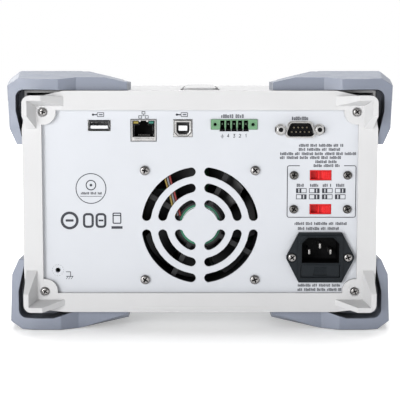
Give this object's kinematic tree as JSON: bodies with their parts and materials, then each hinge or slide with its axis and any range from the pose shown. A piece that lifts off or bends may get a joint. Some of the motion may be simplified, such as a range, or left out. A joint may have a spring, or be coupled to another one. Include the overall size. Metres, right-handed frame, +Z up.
{
  "type": "bench power supply",
  "caption": "Box-shaped bench power supply with corner guards, rear fan and signal ports, mains inlet, front display, keys, knob and binding posts.",
  "frame": {"origin": "middle of the object's box at the height of the guards' soles", "axes": "+Z up, -Y towards the front with the display, +Y towards the rear with the fan and sockets, +X to the right as seen from the front"},
  "size_m": [0.25, 0.33, 0.1686],
  "materials": {
    "cover_paint": "fine-textured off-white powder coat",
    "panel_paint": "smooth pale grey-blue paint",
    "frame_plastic": "off-white moulded plastic, satin",
    "bezel_plastic": "off-white moulded plastic, satin",
    "guard_plastic": "grey-blue soft moulded plastic, fine grain",
    "bare_steel": "zinc-plated sheet steel",
    "screw_steel": "nickel-plated screw heads",
    "shell_metal": "nickel-plated connector shells",
    "fan_plastic": "black glass-filled plastic",
    "wire_jacket": "insulated wires",
    "inlet_plastic": "black moulded plastic",
    "selector_red": "red moulded plastic",
    "terminal_green": "green moulded plastic",
    "iron_core": "varnished laminations with copper windings",
    "board_green": "green circuit board with parts",
    "sink_aluminium": "black-anodised extruded aluminium",
    "handle_plastic": "off-white moulded plastic",
    "foot_plastic": "grey moulded plastic",
    "post_base_plastic": "dark moulded plastic",
    "post_brass": "gold-plated brass",
    "cap_black": "black knurled plastic",
    "cap_red": "red knurled plastic",
    "cap_green": "green knurled plastic",
    "shaft_steel": "turned steel",
    "knob_plastic": "grey soft-touch plastic",
    "key_rubber": "grey silicone rubber",
    "window_glass": "dark clear window",
    "module_metal": "display module in a steel frame"
  },
  "bodies": {
    "case": {"top_cover": "cover_paint", "chassis": "bare_steel", "rear_frame": "frame_plastic", "rear_panel": "panel_paint", "front_bezel": "bezel_plastic", "display_window": "window_glass", "display_module": "module_metal", "rear_guard_upper_left": "guard_plastic", "rear_guard_upper_right": "guard_plastic", "rear_guard_lower_left": "guard_plastic", "rear_guard_lower_right": "guard_plastic", "front_guard_upper_left": "guard_plastic", "front_guard_upper_right": "guard_plastic", "front_guard_lower_left": "guard_plastic", "front_guard_lower_right": "guard_plastic", "fan_housing": "fan_plastic", "fan_lead": "wire_jacket", "fan_screws": "screw_steel", "frame_screws": "screw_steel", "power_inlet": "inlet_plastic", "inlet_blades": "shell_metal", "inlet_screws": "screw_steel", "selector_bodies": "selector_red", "selector_screws": "screw_steel", "usb_host_port": "shell_metal", "lan_port": "shell_metal", "usb_device_port": "shell_metal", "io_terminal": "terminal_green", "serial_port": "shell_metal", "serial_jackscrews": "shell_metal", "transformer": "iron_core", "main_board": "board_green", "heat_sink": "sink_aluminium", "control_board": "board_green", "foot_brackets": "foot_plastic", "post_bases": "post_base_plastic", "post_studs": "post_brass"},
    "fan_rotor": {"fan_rotor": "fan_plastic"},
    "fuse_drawer": {"fuse_drawer": "inlet_plastic"},
    "selector_slider_upper": {"selector_slider_upper": "selector_red"},
    "selector_slider_lower": {"selector_slider_lower": "selector_red"},
    "carry_handle": {"carry_handle": "handle_plastic"},
    "tilt_foot_left": {"tilt_foot_left": "foot_plastic"},
    "tilt_foot_right": {"tilt_foot_right": "foot_plastic"},
    "knob": {"knob": "knob_plastic", "encoder_shaft": "shaft_steel"},
    "power_button": {"power_button": "key_rubber"},
    "output_key": {"output_key": "key_rubber"},
    "post_cap_1": {"post_cap_1": "cap_black"},
    "softkey_1": {"softkey_1": "key_rubber"},
    "post_cap_2": {"post_cap_2": "cap_red"},
    "softkey_2": {"softkey_2": "key_rubber"},
    "post_cap_3": {"post_cap_3": "cap_green"},
    "softkey_3": {"softkey_3": "key_rubber"},
    "post_cap_4": {"post_cap_4": "cap_black"},
    "softkey_4": {"softkey_4": "key_rubber"},
    "post_cap_5": {"post_cap_5": "cap_red"},
    "softkey_5": {"softkey_5": "key_rubber"},
    "channel_key_1": {"channel_key_1": "key_rubber"},
    "channel_key_2": {"channel_key_2": "key_rubber"}
  },
  "joints": [
    {"name": "fan_spin", "type": "hinge", "parent": "case", "child": "fan_rotor", "pos_m": [0, 0.138, 0.0688], "axis": [0, 1, 0], "continuous": true},
    {"name": "fuse_drawer_slide", "type": "slide", "parent": "case", "child": "fuse_drawer", "axis": [0, 1, 0], "range_m": [0, 0.018]},
    {"name": "selector_upper_slide", "type": "slide", "parent": "case", "child": "selector_slider_upper", "axis": [1, 0, 0], "range_m": [0, 0.0045]},
    {"name": "selector_lower_slide", "type": "slide", "parent": "case", "child": "selector_slider_lower", "axis": [1, 0, 0], "range_m": [0, 0.0045]},
    {"name": "handle_lift", "type": "slide", "parent": "case", "child": "carry_handle", "axis": [0, 0, 1], "range_m": [0, 0.022]},
    {"name": "tilt_foot_left_fold", "type": "hinge", "parent": "case", "child": "tilt_foot_left", "pos_m": [-0.045, -0.107, 0.0066], "axis": [-1, 0, 0], "range_deg": [0, 100]},
    {"name": "tilt_foot_right_fold", "type": "hinge", "parent": "case", "child": "tilt_foot_right", "pos_m": [0.045, -0.107, 0.0066], "axis": [-1, 0, 0], "range_deg": [0, 100]},
    {"name": "post_cap_1_turn", "type": "hinge", "parent": "case", "child": "post_cap_1", "pos_m": [-0.00905, -0.155, 0.038], "axis": [0, 1, 0], "continuous": true},
    {"name": "post_cap_2_turn", "type": "hinge", "parent": "case", "child": "post_cap_2", "pos_m": [0.01, -0.155, 0.038], "axis": [0, 1, 0], "continuous": true},
    {"name": "post_cap_3_turn", "type": "hinge", "parent": "case", "child": "post_cap_3", "pos_m": [0.02905, -0.155, 0.038], "axis": [0, 1, 0], "continuous": true},
    {"name": "post_cap_4_turn", "type": "hinge", "parent": "case", "child": "post_cap_4", "pos_m": [0.0481, -0.155, 0.038], "axis": [0, 1, 0], "continuous": true},
    {"name": "post_cap_5_turn", "type": "hinge", "parent": "case", "child": "post_cap_5", "pos_m": [0.06715, -0.155, 0.038], "axis": [0, 1, 0], "continuous": true},
    {"name": "knob_turn", "type": "hinge", "parent": "case", "child": "knob", "pos_m": [0.08, -0.155, 0.118], "axis": [0, 1, 0], "continuous": true},
    {"name": "softkey_1_press", "type": "slide", "parent": "case", "child": "softkey_1", "axis": [0, 1, 0], "range_m": [0, 0.0012], "stiffness_N_per_m": 300},
    {"name": "softkey_2_press", "type": "slide", "parent": "case", "child": "softkey_2", "axis": [0, 1, 0], "range_m": [0, 0.0012], "stiffness_N_per_m": 300},
    {"name": "softkey_3_press", "type": "slide", "parent": "case", "child": "softkey_3", "axis": [0, 1, 0], "range_m": [0, 0.0012], "stiffness_N_per_m": 300},
    {"name": "softkey_4_press", "type": "slide", "parent": "case", "child": "softkey_4", "axis": [0, 1, 0], "range_m": [0, 0.0012], "stiffness_N_per_m": 300},
    {"name": "softkey_5_press", "type": "slide", "parent": "case", "child": "softkey_5", "axis": [0, 1, 0], "range_m": [0, 0.0012], "stiffness_N_per_m": 300},
    {"name": "channel_key_1_press", "type": "slide", "parent": "case", "child": "channel_key_1", "axis": [0, 1, 0], "range_m": [0, 0.0012], "stiffness_N_per_m": 300},
    {"name": "channel_key_2_press", "type": "slide", "parent": "case", "child": "channel_key_2", "axis": [0, 1, 0], "range_m": [0, 0.0012], "stiffness_N_per_m": 300},
    {"name": "output_key_press", "type": "slide", "parent": "case", "child": "output_key", "axis": [0, 1, 0], "range_m": [0, 0.0012], "stiffness_N_per_m": 300},
    {"name": "power_button_press", "type": "slide", "parent": "case", "child": "power_button", "axis": [0, 1, 0], "range_m": [0, 0.0012], "stiffness_N_per_m": 400}
  ]
}
